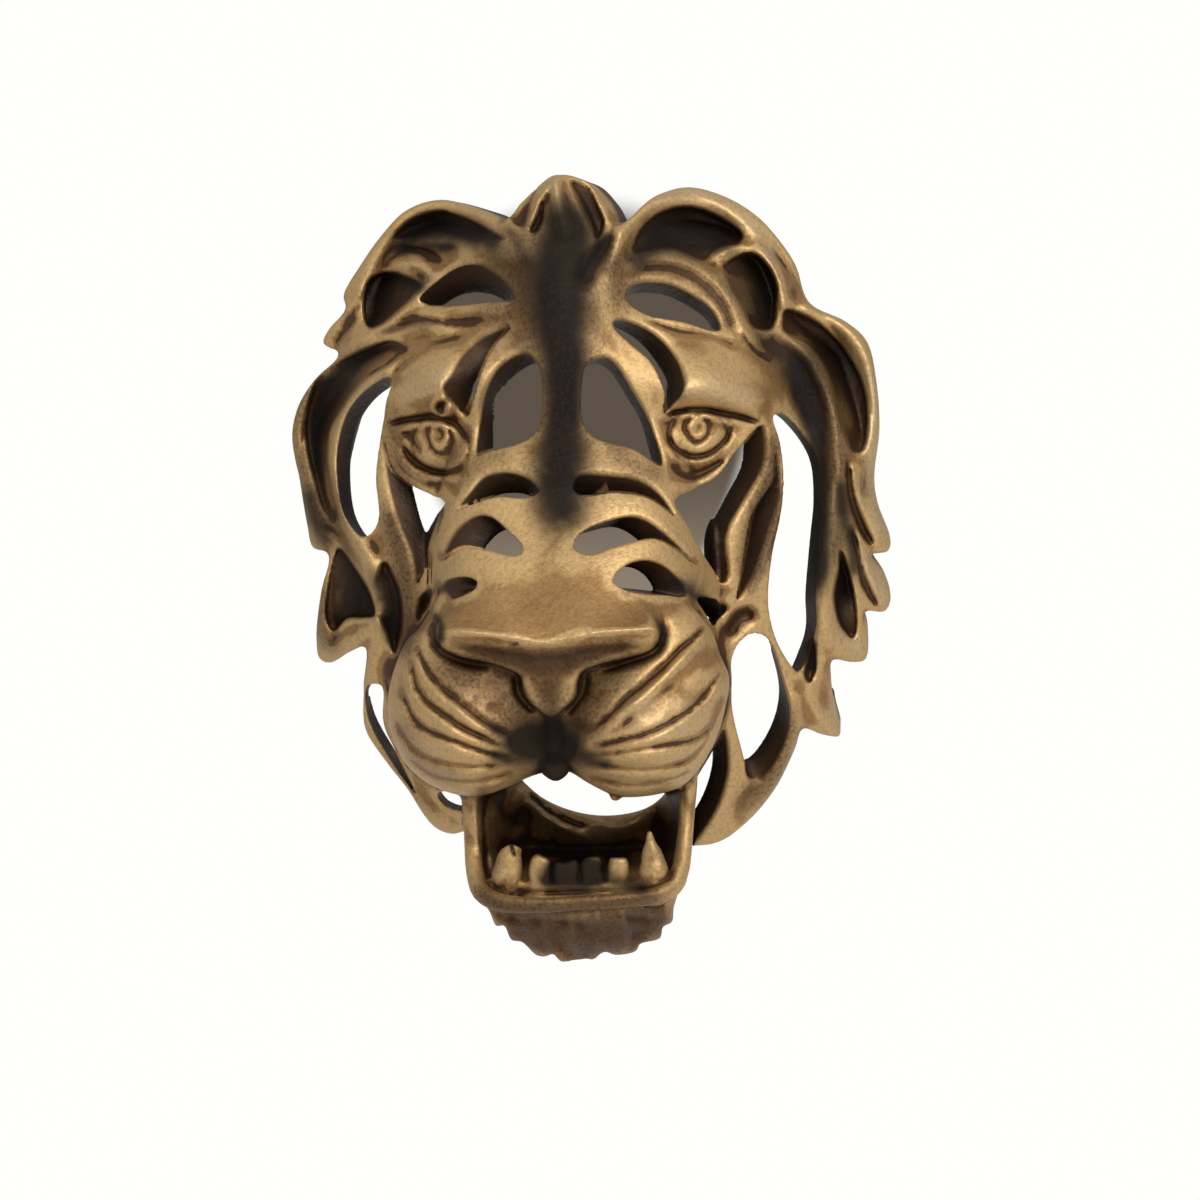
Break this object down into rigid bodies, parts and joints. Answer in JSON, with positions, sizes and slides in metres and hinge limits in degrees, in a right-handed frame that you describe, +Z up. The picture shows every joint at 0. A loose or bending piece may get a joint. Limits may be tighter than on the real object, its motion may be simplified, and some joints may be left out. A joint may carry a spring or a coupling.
{
  "type": "lion head wall mask",
  "caption": "Hollow pierced lion head mask with open jaws and carved mane, cast in one piece, hung flat against a wall.",
  "frame": {"origin": "middle of the flat hanging pad behind the crown, on the plane of the wall", "axes": "+X to the viewer's right, +Y into the wall, +Z up"},
  "size_m": [0.1943, 0.1143, 0.238],
  "materials": {
    "bronze_paint": "satin bronze paint with worn high points, brown in the recesses and smoky black patches"
  },
  "bodies": {
    "root": {"lion_mask": "bronze_paint"}
  },
  "joints": []
}
